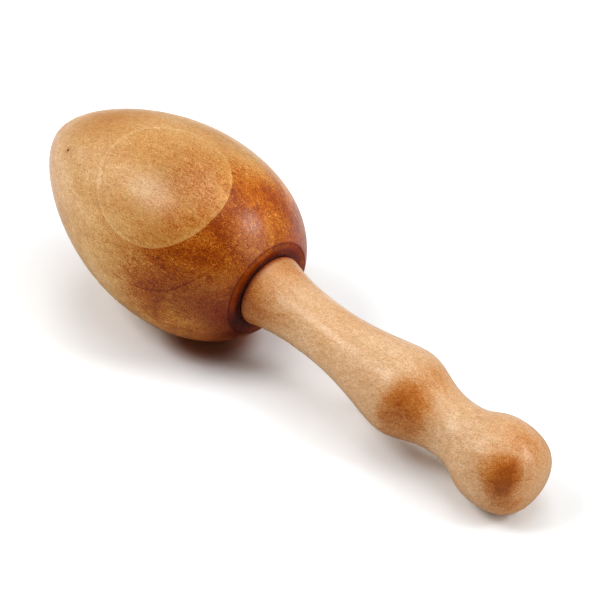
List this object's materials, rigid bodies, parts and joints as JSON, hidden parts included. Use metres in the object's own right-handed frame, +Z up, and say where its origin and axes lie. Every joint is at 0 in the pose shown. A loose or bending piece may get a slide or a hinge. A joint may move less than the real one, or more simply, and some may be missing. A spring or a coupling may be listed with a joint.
{
  "type": "darning egg",
  "caption": "Turned wooden darning egg: an egg-shaped head with a flat rim, joined by a glued tenon to a slim handle with a bead and a round knob at its end.",
  "frame": {"origin": "middle of the part's footprint on the surface it lies on, at the height of that surface", "axes": "+Z up; +X level, from the egg towards the knob, below the turning axis, which slopes down by 8.4 degrees towards the knob; +Y level across"},
  "size_m": [0.1632, 0.051, 0.0517],
  "materials": {
    "egg_wood": "satin lacquer over warm tan diffuse-porous hardwood, with growth rings that show as an oval on the side of the egg",
    "handle_wood": "satin lacquer over paler straight-grained hardwood, darker where the end grain shows",
    "wood_glue": "cured, translucent pale yellow"
  },
  "bodies": {
    "root": {"egg_head": "egg_wood", "handle": "handle_wood", "glue_film": "wood_glue"}
  },
  "joints": []
}
